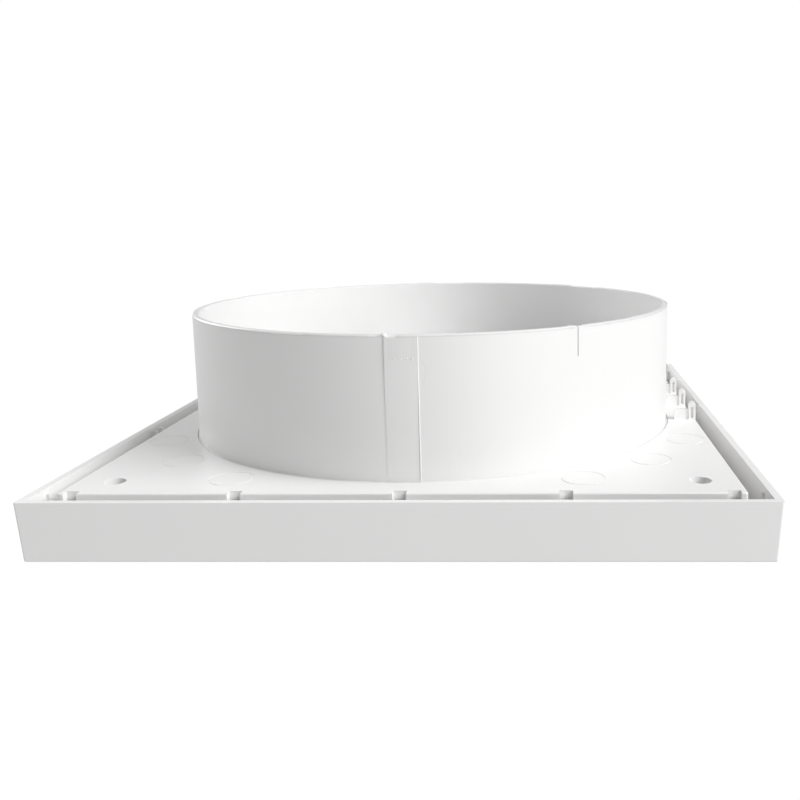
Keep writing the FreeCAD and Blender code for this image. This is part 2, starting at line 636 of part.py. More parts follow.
# ---------------------------------------------------------------- all nodes
def main():
    """Writes every sub-part."""
    os.makedirs("parts", exist_ok=True)
    save("cover_frame", cover_frame())
    save("louvre_grille", louvre_grille())
    save("wall_plate", wall_plate())
    save("duct_spigot", duct_spigot())
    save("motor_bracket", motor_bracket())
    save("bracket_screws", bracket_screws())
    save("motor_grommets", motor_grommets())
    save("motor_screws", motor_screws())
    save("motor_front_shield", motor_front_shield())
    save("motor_can", motor_can())
    save("stator_core", stator_core())
    save("winding_bobbins", winding_bobbins())
    save("stator_coils", stator_coils())
    save("front_bush", bearing_bush(*FRONT_BUSH))
    save("rear_bush", bearing_bush(*REAR_BUSH))
    save("oil_felts", oil_felts())
    save("thermal_fuse", thermal_fuse())
    save("terminal_block", terminal_block())
    save("terminal_screws", terminal_screws())
    save("terminal_fixing_screw", terminal_fixing_screw())
    save("terminal_shroud", terminal_shroud())
    save("cable_grommet", cable_grommet())
    save("cable_clamp", cable_clamp())
    save("cable_clamp_screws", cable_clamp_screws())
    save("motor_lead_live", motor_lead(-0.9, 6.3, 67.2, TERMINAL_X + 2.8))
    save("motor_lead_neutral", motor_lead(0.9, 8.0, 65.6, TERMINAL_X - 2.8))
    save("rotor_shaft", rotor_shaft())
    save("rotor_core", rotor_core())
    save("rotor_cage", rotor_cage())
    save("thrust_washers", thrust_washers())
    save("impeller", impeller())
    save("impeller_clip", impeller_clip())


main()
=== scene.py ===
# %% [markdown]
# # A flush extractor fan, lying on its cover
#
# The fan is a square cover tray, a wall plate inside it and a round duct spigot. Its motor hangs in
# the middle of the spigot on four arms. The engineering model arrives as a frame of named nodes, and
# this lesson gives it its looks: satin white mouldings with the marks that a mould leaves, a spigot
# with a trimmed lip, rounded louvres, wound coils, wires and screws.

# %% Load the frame
import math

import bmesh
import bpy
from mathutils import Matrix, Vector


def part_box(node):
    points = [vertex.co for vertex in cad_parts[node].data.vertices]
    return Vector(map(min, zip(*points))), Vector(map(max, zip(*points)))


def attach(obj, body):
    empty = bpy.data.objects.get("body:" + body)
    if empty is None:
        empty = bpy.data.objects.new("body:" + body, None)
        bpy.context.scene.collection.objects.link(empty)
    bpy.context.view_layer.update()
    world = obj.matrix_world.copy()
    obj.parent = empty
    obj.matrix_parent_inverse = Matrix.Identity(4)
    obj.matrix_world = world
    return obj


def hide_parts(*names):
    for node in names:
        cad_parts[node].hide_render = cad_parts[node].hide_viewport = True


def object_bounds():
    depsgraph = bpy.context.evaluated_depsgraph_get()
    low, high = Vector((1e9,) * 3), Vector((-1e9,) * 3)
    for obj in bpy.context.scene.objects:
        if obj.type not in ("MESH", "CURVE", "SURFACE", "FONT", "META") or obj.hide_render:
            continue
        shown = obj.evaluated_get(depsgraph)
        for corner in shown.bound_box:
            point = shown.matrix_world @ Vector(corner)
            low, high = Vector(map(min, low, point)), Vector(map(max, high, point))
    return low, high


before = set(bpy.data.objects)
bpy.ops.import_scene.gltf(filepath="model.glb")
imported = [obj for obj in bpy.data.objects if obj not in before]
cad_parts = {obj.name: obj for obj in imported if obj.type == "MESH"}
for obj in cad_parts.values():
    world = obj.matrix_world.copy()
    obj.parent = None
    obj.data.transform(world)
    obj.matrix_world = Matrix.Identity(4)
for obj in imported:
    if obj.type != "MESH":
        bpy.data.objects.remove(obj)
cad_low, cad_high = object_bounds()
MM = 0.001
print("CAD box in mm:", [round(v / MM, 1) for v in (*cad_low, *cad_high)])

# %% [markdown]
# Places come from the frame's own nodes, so that nothing is fitted by eye afterwards. The cover's rim
# gives the rear plane that lies against the wall, and the spigot's box gives its length.

# %% Measure the nodes that the new pieces follow
spigot_low, spigot_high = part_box("duct_spigot")
grille_low, grille_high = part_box("louvre_grille")
REAR_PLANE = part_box("cover_frame")[1].z
LIP = spigot_high.z
print("rear plane", round(REAR_PLANE / MM, 2), "mm, spigot lip", round(LIP / MM, 2), "mm")

# %% [markdown]
# Shader maths reads best as ordinary arithmetic. This small class wraps a socket, and each operator
# adds the Math node that a person would have dropped into the editor by hand. A second class stands
# for the material under construction and adds every other node through one method.


# %% A socket that can be added, scaled and compared
class Sig:
    """One output socket in a node tree."""

    def __init__(self, book, socket):
        self.book = book
        self.socket = socket

    def _math(self, operation, *values):
        return self.book.node("ShaderNodeMath", {"operation": operation}, dict(enumerate(values)))

    def __add__(self, other):
        return self._math("ADD", self, other)

    def __radd__(self, other):
        return self._math("ADD", other, self)

    def __sub__(self, other):
        return self._math("SUBTRACT", self, other)

    def __rsub__(self, other):
        return self._math("SUBTRACT", other, self)

    def __mul__(self, other):
        return self._math("MULTIPLY", self, other)

    def __rmul__(self, other):
        return self._math("MULTIPLY", other, self)

    def __pow__(self, other):
        return self._math("POWER", self, other)

    def size(self):
        """The value without its sign."""
        return self._math("ABSOLUTE", self)

    def wave(self):
        """A sine of the value."""
        return self._math("SINE", self)

    def above(self, edge, soft=0.0):
        """1 where the value is over the edge, with a soft step of the given width."""
        reach = {"Value": self, "From Min": edge - soft / 2, "From Max": edge + soft / 2 + 1e-6}
        return self.book.node("ShaderNodeMapRange", {"interpolation_type": "SMOOTHSTEP"}, reach)

    def below(self, edge, soft=0.0):
        """1 where the value is under the edge."""
        return 1 - self.above(edge, soft)


class Book:
    """A material under construction."""

    def __init__(self, name, tree=None):
        if tree is None:
            self.material = bpy.data.materials.new(name)
            self.material.use_nodes = True
            tree = self.material.node_tree
        self.tree = tree
        self.shader = tree.nodes.get("Principled BSDF")

    def node(self, kind, settings, inputs, output=0):
        """Adds a node: its settings first, then the values or links of its sockets."""
        made = self.tree.nodes.new(kind)
        for key, value in settings.items():
            setattr(made, key, value)
        for key, value in inputs.items():
            socket = made.inputs[key]
            if isinstance(value, Sig):
                self.tree.links.new(value.socket, socket)
            else:
                socket.default_value = value
        return Sig(self, made.outputs[output])

    def place(self, scale):
        """Object coordinates, scaled along each axis."""
        where = self.node("ShaderNodeTexCoord", {}, {}, "Object")
        return self.node("ShaderNodeMapping", {"vector_type": "POINT"}, {"Vector": where, "Scale": scale})

    def axes(self):
        """The three object coordinates as separate values."""
        where = self.node("ShaderNodeTexCoord", {}, {}, "Object")
        split = self.node("ShaderNodeSeparateXYZ", {}, {0: where}).socket.node
        return [Sig(self, split.outputs[i]) for i in range(3)]

    def noise(self, size, detail=3.0, rough=0.5, stretch=(1, 1, 1)):
        """Noise whose features are about this many metres across, longer along an axis of small stretch."""
        where = self.place(tuple(s / size for s in stretch))
        sockets = {"Vector": where, "Scale": 1.0, "Detail": detail, "Roughness": rough}
        return self.node("ShaderNodeTexNoise", {}, sockets)

    def cells(self, size):
        """Distance to the nearest of points strewn about this many metres apart."""
        where = self.place((1 / size, 1 / size, 1 / size))
        return self.node("ShaderNodeTexVoronoi", {}, {"Vector": where, "Scale": 1.0}, "Distance")

    def mix(self, factor, first, second):
        """A colour between two colours."""
        made = self.tree.nodes.new("ShaderNodeMix")
        made.data_type = "RGBA"
        names = {socket.identifier: socket for socket in made.inputs}
        for key, value in (("Factor_Float", factor), ("A_Color", first), ("B_Color", second)):
            if isinstance(value, Sig):
                self.tree.links.new(value.socket, names[key])
            else:
                names[key].default_value = value
        return Sig(self, next(s for s in made.outputs if s.identifier == "Result_Color"))

    def bump(self, height, depth, strength=1.0, under=None):
        """Bump of a height between 0 and 1 that is worth this many metres."""
        sockets = {"Height": height, "Distance": depth, "Strength": strength}
        if under is not None:
            sockets["Normal"] = under
        return self.node("ShaderNodeBump", {}, sockets)

    def finish(self, **sockets):
        """Sets or links the shader's sockets by name, and returns the material."""
        names = {"colour": "Base Color", "rough": "Roughness", "metal": "Metallic", "normal": "Normal",
                 "coat": "Coat Weight", "coat_rough": "Coat Roughness", "sheen": "Sheen Weight",
                 "specular": "Specular IOR Level"}
        for key, value in sockets.items():
            socket = self.shader.inputs[names[key]]
            if isinstance(value, Sig):
                self.tree.links.new(value.socket, socket)
            else:
                socket.default_value = value
        return self.material


def grey(value, warmth=0.0):
    """A near-neutral colour: warmth lifts red and lowers blue."""
    return (value * (1 + warmth), value, value * (1 - warmth), 1)


def shade(colour, factor):
    """The same colour, darker or lighter."""
    return tuple(min(1.0, c * factor) for c in colour[:3]) + (1,)


print("shader helpers ready")

# %% [markdown]
# ## White mouldings
#
# The cover, the plate and the spigot are injection-moulded in the same white plastic. Up close it isn't
# flat: the spark-eroded mould leaves a fine orange-peel skin, the melt's flow leaves broad faint bands,
# a few dark specks get moulded in, and handling leaves hair scratches. All of it is procedural and runs
# on Object coordinates, so it sits still on the piece.


# %% The white plastic that the three mouldings share
WHITE = grey(0.845, 0.004)
SPECK = (0.32, 0.31, 0.29, 1)
SATIN = 0.45                         # specular level of the three mouldings


def moulded_white(name, colour=WHITE, rough=0.36, drawn=(1, 1, 1)):
    """Satin white plastic; drawn gives the direction of the hair scratches by a small stretch."""
    book = Book(name)
    flow = book.noise(0.045, detail=4, rough=0.55)
    skin = book.noise(0.00035, detail=2)
    hair = book.noise(0.0005, detail=2, stretch=drawn).above(0.66, 0.06)
    rubs = book.noise(0.02, detail=3).above(0.56, 0.2)
    specks = book.cells(0.011).below(0.011, 0.006)
    base = book.mix(flow, shade(colour, 0.975), shade(colour, 1.02))
    base = book.mix(hair * rubs * 0.12, base, shade(colour, 0.86))
    base = book.mix(specks * 0.55, base, SPECK)
    skin_bump = book.bump(skin, 0.000012, 0.6)
    hair_bump = book.bump(1 - hair * rubs, 0.000015, 0.5, under=skin_bump)
    satin = rough + (flow - 0.5) * 0.10 + hair * rubs * 0.12
    return book, base, satin, hair_bump


def shell_plastic():
    """Cover and grille: the mouldings that face the room."""
    book, base, satin, normal = moulded_white("white_shell", drawn=(0.03, 1, 1))
    return book.finish(colour=base, rough=satin, normal=normal, specular=SATIN)


def plate_plastic():
    """Wall plate: the same plastic with duller, swirled flow marks round the spigot."""
    book, base, satin, normal = moulded_white("white_plate", rough=0.40, drawn=(0.2, 0.2, 1))
    x, y, z = book.axes()
    radius = (x * x + y * y) ** 0.5
    swirl = ((radius * 2200) + book.noise(0.02) * 9).wave() * 0.5 + 0.5
    weld = book.bump(swirl, 0.000010, 0.25, under=normal)
    return book.finish(colour=base, rough=satin + swirl * 0.03, normal=weld, specular=SATIN)


print("white mouldings ready")

# %% [markdown]
# ## The spigot's plastic
#
# The spigot is drawn out of a deep mould, so its wall carries fine vertical draw lines, and each of its
# four flat strips is an insert in the mould: the strip is a little duller and near the lip it shows short
# scrape marks. Painted shade darkens the front strip's edges near the lip, a band beside each side strip
# and a broken line under the trimmed lip. Beside the front strip the wall has a shallow sink mark, a
# crescent no longer than a fingernail, faintly darkened with painted shade. The right side of the wall,
# which faces the key light, gets painted shade that makes it greyer than the rest. The marks are far
# thinner than the mesh, so they are bump and tint.

# %% Spigot plastic
SPIGOT_R = 74.5 * MM
STRIP_HALF = 4.125 * MM
MARK_X = 4.9 * MM                    # middle of the crescent, to the right of the front strip
MARK_BELOW_LIP = 9.4 * MM
SPIGOT_WHITE = grey(0.82, 0.004)
# Grey that the scrapes, and the painted shade below, are mixed towards.
SCRAPE_AND_SHADE_GREY = grey(0.42)


def spigot_plastic():
    """White plastic with draw lines, a trimmed lip, scrapes at the top of each strip, one sink mark and
    painted shade.
    """
    book, base, satin, normal = moulded_white("white_spigot", SPIGOT_WHITE, rough=0.34, drawn=(1, 1, 0.02))
    x, y, z = book.axes()
    radius = (x * x + y * y) ** 0.5
    front = y.below(0)
    draw = book.noise(0.0011, detail=2, stretch=(1, 1, 0.012))
    long_draw = book.bump(draw, 0.000016, 0.45, under=normal)

    on_strip = (x.size().below(STRIP_HALF) + y.size().below(STRIP_HALF)).above(0.5)
    strip_face = radius.above(SPIGOT_R + 0.06 * MM)
    near_lip = z.above(LIP - 6.2 * MM, 0.6 * MM)
    scrape = book.noise(0.0005, detail=2, stretch=(1, 1, 0.04)).above(0.52, 0.2)
    scrapes = scrape * near_lip * on_strip * strip_face
    scored = book.bump(1 - scrapes, 0.00002, 0.35, under=long_draw)

    mark_x = x - MARK_X
    mark_z = z - (LIP - MARK_BELOW_LIP)
    ring = (mark_x * mark_x * 7 + mark_z * mark_z) ** 0.5
    crescent = ring.below(2.7 * MM, 0.7 * MM) * ring.above(2.0 * MM, 0.7 * MM) * mark_x.above(0) * front
    sunk = book.bump(1 - crescent, 0.00005, 0.4, under=scored)

    # Painted shade: a broken dark line under the trimmed lip, dark edges on the front strip that fade out
    # downwards, and a dark band beside each side strip.
    patches = 0.2 + 0.6 * book.noise(0.003)
    painted_shade_under_lip = z.above(LIP - 0.6 * MM, 0.3 * MM) * radius.above(SPIGOT_R - 0.2 * MM) * patches
    painted_shade_strip_edges = (x.size() - STRIP_HALF).size().below(0.22 * MM, 0.1 * MM) * z.above(LIP - 9 * MM, 9 * MM) * front
    shade_band_beside_strip = (y.size() - STRIP_HALF - 0.8 * MM).size().below(1.1 * MM, 0.8 * MM)
    beside = shade_band_beside_strip * radius.above(SPIGOT_R - 1 * MM)
    painted_shade = painted_shade_under_lip + painted_shade_strip_edges * strip_face * 0.35 + beside * 0.6
    # Painted shade: the outer wall's right side, which faces the key light, is tinted greyer so that its lit
    # edge still shows.
    painted_shade_lit_side = x.above(41 * MM, 42 * MM) * radius.above(SPIGOT_R - 0.5 * MM) * 0.27
    # Scrapes are real marks; the crescent's darkening, the shade lines and the greyer right side mixed in
    # here are painted shade.
    tint = book.mix(scrapes * 0.06 + crescent * 0.03 + painted_shade * 0.5 + painted_shade_lit_side, base, SCRAPE_AND_SHADE_GREY)
    return book.finish(colour=tint, rough=satin + on_strip * strip_face * 0.06, normal=sunk, specular=SATIN)


# %% [markdown]
# ## Plastics and rubber inside
#
# The bracket is glass-filled nylon, so pale fibres show in an off-white body. The impeller is unfilled
# polypropylene: a little translucent, and glossier. The bobbins are hard dark polyester, the
# terminal block is pale polyamide, and the grommets are matt rubber with a dusty bloom.


# %% Materials for the inner plastics
def bracket_nylon():
    """Off-white glass-filled nylon with fibres at the skin."""
    book = Book("bracket_nylon")
    fibres = book.noise(0.0006, detail=3, stretch=(1, 0.12, 1)).above(0.58, 0.1)
    cloud = book.noise(0.012, detail=3)
    base = book.mix(cloud, (0.73, 0.72, 0.69, 1), (0.80, 0.79, 0.76, 1))
    base = book.mix(fibres * 0.30, base, (0.87, 0.86, 0.84, 1))
    return book.finish(colour=base, rough=0.48 + fibres * 0.12, normal=book.bump(fibres, 0.00002, 0.5))


def impeller_plastic():
    """Pale grey polypropylene with flow lines that run out along the blades."""
    book = Book("impeller_plastic")
    x, y, z = book.axes()
    radius = (x * x + y * y) ** 0.5
    flow = book.noise(0.009, detail=4)
    rings = ((radius * 2600) + flow * 8).wave() * 0.5 + 0.5
    dust = (z * 120 + book.noise(0.004)).above(3.9, 1.6)
    base = book.mix(flow, (0.70, 0.71, 0.72, 1), (0.79, 0.80, 0.805, 1))
    base = book.mix(dust * 0.10, base, (0.62, 0.60, 0.57, 1))
    turned = book.bump(rings, 0.000012, 0.3, under=book.bump(book.noise(0.0005), 0.00001, 0.4))
    return book.finish(colour=base, rough=0.30 + flow * 0.10, normal=turned, coat=0.15, coat_rough=0.25)


def bobbin_plastic():
    """Dark polyester with a faint mottle."""
    book = Book("bobbin_plastic")
    cloud = book.noise(0.003, detail=4)
    base = book.mix(cloud, (0.055, 0.058, 0.062, 1), (0.10, 0.10, 0.105, 1))
    return book.finish(colour=base, rough=0.38 + cloud * 0.15, normal=book.bump(cloud, 0.00004, 0.5))


def terminal_plastic():
    """Pale grey polyamide, slightly waxy."""
    book = Book("terminal_plastic")
    cloud = book.noise(0.004, detail=3)
    pits = book.cells(0.0011).below(0.18, 0.1)
    base = book.mix(cloud, (0.60, 0.60, 0.58, 1), (0.69, 0.69, 0.67, 1))
    base = book.mix(pits * 0.2, base, (0.45, 0.45, 0.43, 1))
    return book.finish(colour=base, rough=0.44 + cloud * 0.1, normal=book.bump(1 - pits, 0.00002, 0.5))


def grommet_rubber():
    """Dark rubber with a grey bloom in patches."""
    book = Book("grommet_rubber")
    bloom = book.noise(0.0022, detail=5, rough=0.65)
    base = book.mix(bloom, (0.022, 0.022, 0.023, 1), (0.085, 0.083, 0.080, 1))
    return book.finish(colour=base, rough=0.66 + bloom * 0.18, normal=book.bump(bloom, 0.00008, 0.5))


def insulation(name, colour):
    """Extruded wire insulation: glossy, with faint rings from the extruder."""
    book = Book(name)
    rings = book.noise(0.0007, detail=2, stretch=(1, 1, 0.4))
    grime = book.noise(0.006, detail=4).above(0.6, 0.2)
    base = book.mix(rings, shade(colour, 0.88), shade(colour, 1.08))
    base = book.mix(grime * 0.15, base, (0.20, 0.17, 0.14, 1))
    return book.finish(colour=base, rough=0.30 + grime * 0.2, normal=book.bump(rings, 0.00003, 0.5))


def fuse_body():
    """Tinned can of the thermal cut-out, sleeved in clear varnish."""
    book = Book("fuse_body")
    mottle = book.noise(0.0012, detail=4)
    base = book.mix(mottle, (0.52, 0.50, 0.47, 1), (0.68, 0.66, 0.62, 1))
    return book.finish(colour=base, metal=0.8, rough=0.34 + mottle * 0.2, coat=0.4, coat_rough=0.12,
                       normal=book.bump(mottle, 0.00003, 0.5))


# %% [markdown]
# ## Metals
#
# Each metal shows how it was made. Zinc plate is bluish and streaky, drawn steel has fine vertical
# lines, laminations are half-millimetre sheets with dark varnish between them, the shaft is ground
# round and round, the cage is cast and coarse, and the bushes are sintered grains soaked in oil.


# %% Materials for the metal pieces
def zinc_steel():
    """Bright zinc plate with cloudy passivation."""
    book = Book("zinc_steel")
    cloud = book.noise(0.0018, detail=5, rough=0.6)
    pits = book.cells(0.0007).below(0.16, 0.1)
    base = book.mix(cloud, (0.50, 0.53, 0.58, 1), (0.72, 0.73, 0.72, 1))
    base = book.mix(pits * 0.4, base, (0.30, 0.30, 0.31, 1))
    return book.finish(colour=base, metal=1.0, rough=0.26 + cloud * 0.22,
                       normal=book.bump(cloud, 0.00003, 0.5))


def motor_steel():
    """Drawn and plated sheet, with scratches from the press tool."""
    book = Book("motor_steel")
    drawn = book.noise(0.0006, detail=3, stretch=(1, 1, 0.03))
    cloud = book.noise(0.007, detail=4)
    base = book.mix(cloud, (0.46, 0.48, 0.50, 1), (0.64, 0.65, 0.66, 1))
    base = book.mix(drawn.above(0.6, 0.1) * 0.3, base, (0.75, 0.75, 0.76, 1))
    return book.finish(colour=base, metal=1.0, rough=0.28 + cloud * 0.2,
                       normal=book.bump(drawn, 0.00002, 0.6))


def lamination_steel():
    """Stacked sheets: a dark line of varnish every half millimetre."""
    book = Book("lamination_steel")
    x, y, z = book.axes()
    sheet = (z * (2 * math.pi / (0.5 * MM))).wave() * 0.5 + 0.5
    line = sheet.below(0.22, 0.2)
    rust = book.noise(0.003, detail=5, rough=0.65).above(0.60, 0.15)
    base = book.mix(line, (0.30, 0.30, 0.31, 1), (0.075, 0.072, 0.070, 1))
    base = book.mix(rust * 0.35, base, (0.24, 0.13, 0.07, 1))
    return book.finish(colour=base, metal=0.85, rough=0.42 + rust * 0.25,
                       normal=book.bump(1 - line, 0.00006, 0.8))


def ground_steel():
    """Shaft steel with the fine rings of centreless grinding."""
    book = Book("ground_steel")
    rings = book.noise(0.0004, detail=3, stretch=(0.05, 0.05, 1))
    base = book.mix(rings, (0.56, 0.57, 0.58, 1), (0.74, 0.74, 0.75, 1))
    return book.finish(colour=base, metal=1.0, rough=0.16 + rings * 0.14,
                       normal=book.bump(rings, 0.00001, 0.5))


def cast_aluminium():
    """Die-cast aluminium with chill marks."""
    book = Book("cast_aluminium")
    chill = book.noise(0.0025, detail=5, rough=0.62)
    base = book.mix(chill, (0.50, 0.51, 0.52, 1), (0.74, 0.75, 0.76, 1))
    return book.finish(colour=base, metal=1.0, rough=0.36 + chill * 0.25,
                       normal=book.bump(chill, 0.00012, 0.6))


def copper_wire():
    """Enamelled copper: the enamel's colour varies a little from turn to turn."""
    book = Book("copper_wire")
    turns = book.noise(0.0009, detail=2)
    base = book.mix(turns, (0.52, 0.20, 0.075, 1), (0.72, 0.31, 0.12, 1))
    return book.finish(colour=base, metal=0.9, rough=0.26 + turns * 0.12, coat=0.6, coat_rough=0.10,
                       normal=book.bump(turns, 0.00002, 0.4))


def sintered_bronze():
    """Porous bronze, dark with oil between the grains."""
    book = Book("sintered_bronze")
    grains = book.cells(0.00028)
    oil = book.noise(0.0015, detail=4)
    base = book.mix(grains.above(0.35, 0.3), (0.50, 0.33, 0.16, 1), (0.17, 0.10, 0.05, 1))
    base = book.mix(oil * 0.35, base, (0.12, 0.08, 0.04, 1))
    return book.finish(colour=base, metal=0.9, rough=0.38 + oil * 0.2, normal=book.bump(grains, 0.00005, 0.6))


def terminal_brass():
    """Plated brass screws, worn bright where a screwdriver turned them."""
    book = Book("terminal_brass")
    wear = book.noise(0.0008, detail=5, rough=0.65)
    base = book.mix(wear, (0.62, 0.55, 0.36, 1), (0.80, 0.74, 0.56, 1))
    return book.finish(colour=base, metal=1.0, rough=0.24 + wear * 0.22, normal=book.bump(wear, 0.00003, 0.5))


def felt():
    """Wool felt, yellowed with oil."""
    book = Book("felt")
    wool = book.noise(0.0005, detail=6, rough=0.75)
    oil = book.noise(0.002, detail=3)
    base = book.mix(wool, (0.34, 0.28, 0.17, 1), (0.62, 0.55, 0.40, 1))
    base = book.mix(oil * 0.4, base, (0.24, 0.18, 0.09, 1))
    return book.finish(colour=base, rough=0.80 + wool * 0.15, normal=book.bump(wool, 0.00015, 0.8), sheen=0.3)


# %% [markdown]
# ## Dressing the engineering nodes
#
# A node whose shape is already right keeps its mesh and only gets its finish. Each material is made
# once and shared by every piece of the same stuff. The ones that get a new mesh are dressed as well,
# so that nothing is ever bare.

# %% Give every node its material
FINISHES = {
    shell_plastic(): ("cover_frame", "louvre_grille"),
    plate_plastic(): ("wall_plate",),
    spigot_plastic(): ("duct_spigot",),
    bracket_nylon(): ("motor_bracket",),
    impeller_plastic(): ("impeller",),
    zinc_steel(): ("bracket_screws", "motor_screws", "terminal_fixing_screw", "cable_clamp_screws",
                   "impeller_clip", "thrust_washers"),
    motor_steel(): ("motor_front_shield", "motor_can"),
    lamination_steel(): ("stator_core", "rotor_core"),
    ground_steel(): ("rotor_shaft",),
    cast_aluminium(): ("rotor_cage",),
    copper_wire(): ("stator_coils",),
    bobbin_plastic(): ("winding_bobbins",),
    sintered_bronze(): ("front_bush", "rear_bush"),
    felt(): ("oil_felts",),
    grommet_rubber(): ("motor_grommets", "cable_grommet"),
    terminal_plastic(): ("terminal_block", "terminal_shroud", "cable_clamp"),
    terminal_brass(): ("terminal_screws",),
    fuse_body(): ("thermal_fuse",),
    insulation("live_insulation", (0.30, 0.115, 0.045, 1)): ("motor_lead_live",),
    insulation("neutral_insulation", (0.045, 0.13, 0.42, 1)): ("motor_lead_neutral",),
}
finish_of = {}
for material, names in FINISHES.items():
    for name in names:
        finish_of[name] = material
        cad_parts[name].data.materials.clear()
        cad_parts[name].data.materials.append(material)
print("nodes dressed:", len(finish_of), "of", len(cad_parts))

# %% [markdown]
# ## Helpers for modelling by hand
#
# Modelling operators act on whatever is selected, so every piece starts from an empty selection. A
# face, edge or vertex is then picked by its place. Round pieces are walked: a circle is extruded and
# scaled from one point of the outline to the next until it meets itself, then sealed.


# %% Start, pick, walk and finish a piece
def start(add, name, **settings):
    """Adds one primitive with nothing else selected, and opens it in edit mode."""
    if bpy.context.mode != "OBJECT":
        bpy.ops.object.mode_set(mode="OBJECT")
    bpy.ops.object.select_all(action="DESELECT")
    add(**settings)
    piece = bpy.context.object
    piece.name = name
    bpy.ops.object.transform_apply(location=True, rotation=True, scale=True)
    bpy.ops.object.mode_set(mode="EDIT")
    bpy.ops.mesh.select_all(action="SELECT")
    return piece


def pick(piece, kind, test):
    """Selects only the faces, edges or verts whose middle passes the test; returns how many."""
    bpy.ops.mesh.select_mode(type={"faces": "FACE", "edges": "EDGE", "verts": "VERT"}[kind])
    bpy.ops.mesh.select_all(action="DESELECT")
    mesh = bmesh.from_edit_mesh(piece.data)
    count = 0
    for element in getattr(mesh, kind):
        if kind == "verts":
            middle = element.co
        elif kind == "edges":
            middle = (element.verts[0].co + element.verts[1].co) / 2
        else:
            middle = element.calc_center_median()
        if test(middle):
            element.select_set(True)
            count += 1
    mesh.select_flush_mode()
    bmesh.update_edit_mesh(piece.data)
    return count


def seal():
    """Merges doubles and turns every face outwards."""
    bpy.ops.mesh.select_all(action="SELECT")
    bpy.ops.mesh.remove_doubles(threshold=0.01 * MM)
    bpy.ops.mesh.normals_make_consistent(inside=False)


def walk(name, outline, segments):
    """A round solid whose section is a closed outline of (radius, height) points, in metres."""
    radius, height = outline[0]
    piece = start(bpy.ops.mesh.primitive_circle_add, name, vertices=segments, radius=radius,
                  location=(0, 0, height))
    for (r0, z0), (r1, z1) in zip(outline, outline[1:] + outline[:1]):
        bpy.ops.mesh.extrude_region_move(TRANSFORM_OT_translate={"value": (0, 0, z1 - z0)})
        bpy.ops.transform.resize(value=(r1 / r0, r1 / r0, 1), center_override=(0, 0, 0))
    seal()
    return piece


def arc(centre, radius, first, last, steps):
    """Points of an arc in the (radius, height) plane, by angle in degrees."""
    angles = [math.radians(first + (last - first) * i / steps) for i in range(steps + 1)]
    return [(centre[0] + radius * math.cos(a), centre[1] + radius * math.sin(a)) for a in angles]


def modify(piece, kind, **settings):
    """Adds a modifier, sets it and applies it."""
    bpy.context.view_layer.objects.active = piece
    modifier = piece.modifiers.new(kind.lower(), kind)
    for key, value in settings.items():
        setattr(modifier, key, value)
    bpy.ops.object.modifier_apply(modifier=modifier.name)


def close(piece, node, body, smooth=30, replaces=()):
    """Leaves edit mode, smooths, dresses the piece like a node, ties it to its body and hides the nodes it
    replaces.
    """
    if bpy.context.mode != "OBJECT":
        bpy.ops.object.mode_set(mode="OBJECT")
    bpy.ops.object.select_all(action="DESELECT")
    piece.select_set(True)
    bpy.context.view_layer.objects.active = piece
    bpy.ops.object.transform_apply(location=True, rotation=True, scale=True)
    bpy.ops.object.shade_smooth_by_angle(angle=math.radians(smooth))
    piece.data.materials.clear()
    piece.data.materials.append(finish_of[node])
    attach(piece, body)
    if replaces:
        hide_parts(*replaces)
    print(f"{piece.name}: {len(piece.data.polygons)} faces on {body}")
    return piece


print("modelling helpers ready")

# %% [markdown]
# ## The spigot
#
# The real spigot is one moulding with a thin straight wall, a bell mouth under the plate, four flat
# strips up its outside and a lip that was trimmed by hand. A cylinder would give a wall without any of
# that, so the outline is walked round the axis, the strips are extruded from its faces, and the lip is
# nicked and lifted over short arcs, where the trimmer's knife went off line.

# %% Walk the spigot's outline
STEPS_PER_QUARTER = 170
STRIP_STEPS = 6                      # steps from a strip's middle to its edge
SPIGOT_BORE = 72.7 * MM
ROOT_R = 75.1 * MM
FLARE_R = 78.0 * MM
PLATE_FRONT = REAR_PLANE - 2.2 * MM
FLARE_FRONT = spigot_low.z
BELL = PLATE_FRONT - FLARE_FRONT
SEAM = 0.05 * MM
STRIP_TOP = LIP - 0.35 * MM
STRIP_WAIST = LIP - 20 * MM
SLIT_DEPTH = 7.8 * MM

outline = [(SPIGOT_R, STRIP_TOP), (SPIGOT_R, LIP - 0.9 * MM), (SPIGOT_R, LIP - SLIT_DEPTH),
           (SPIGOT_R, STRIP_WAIST), (SPIGOT_R, REAR_PLANE + SEAM), (SPIGOT_R, REAR_PLANE),
           (ROOT_R, REAR_PLANE), (ROOT_R, PLATE_FRONT), (FLARE_R, PLATE_FRONT), (FLARE_R, FLARE_FRONT)]
outline += arc((SPIGOT_BORE + BELL, PLATE_FRONT), BELL, 270, 180, 8)
outline += [(SPIGOT_BORE, REAR_PLANE + 5 * MM), (SPIGOT_BORE, LIP - SLIT_DEPTH),
            (SPIGOT_BORE, LIP - 0.9 * MM), (SPIGOT_BORE, LIP - 0.3 * MM),
            (SPIGOT_BORE + 0.25 * MM, LIP), (SPIGOT_R - 0.35 * MM, LIP)]
spigot = walk("spigot_moulding", outline, 4 * STEPS_PER_QUARTER)
print("spigot outline points:", len(outline))

# %% [markdown]
# Each strip is raised by extruding its faces outwards. The strips have a little draft of their own, so
# they stand proud at the lip and die into the wall at the plate.

# %% Raise the four strips
STRIP_PROUD = 0.24 * MM
STRIP_SINKS = ((STRIP_WAIST, 0.12 * MM), (REAR_PLANE + SEAM, 0.19 * MM))
strip_half = STRIP_STEPS * 90 / STEPS_PER_QUARTER


def bearing(point):
    """Angle of a point about the spigot's axis, in degrees."""
    return math.degrees(math.atan2(point.y, point.x))


def off_quarter(point):
    """How far a point's bearing is from the nearest strip's middle."""
    return abs((bearing(point) + 45) % 90 - 45)


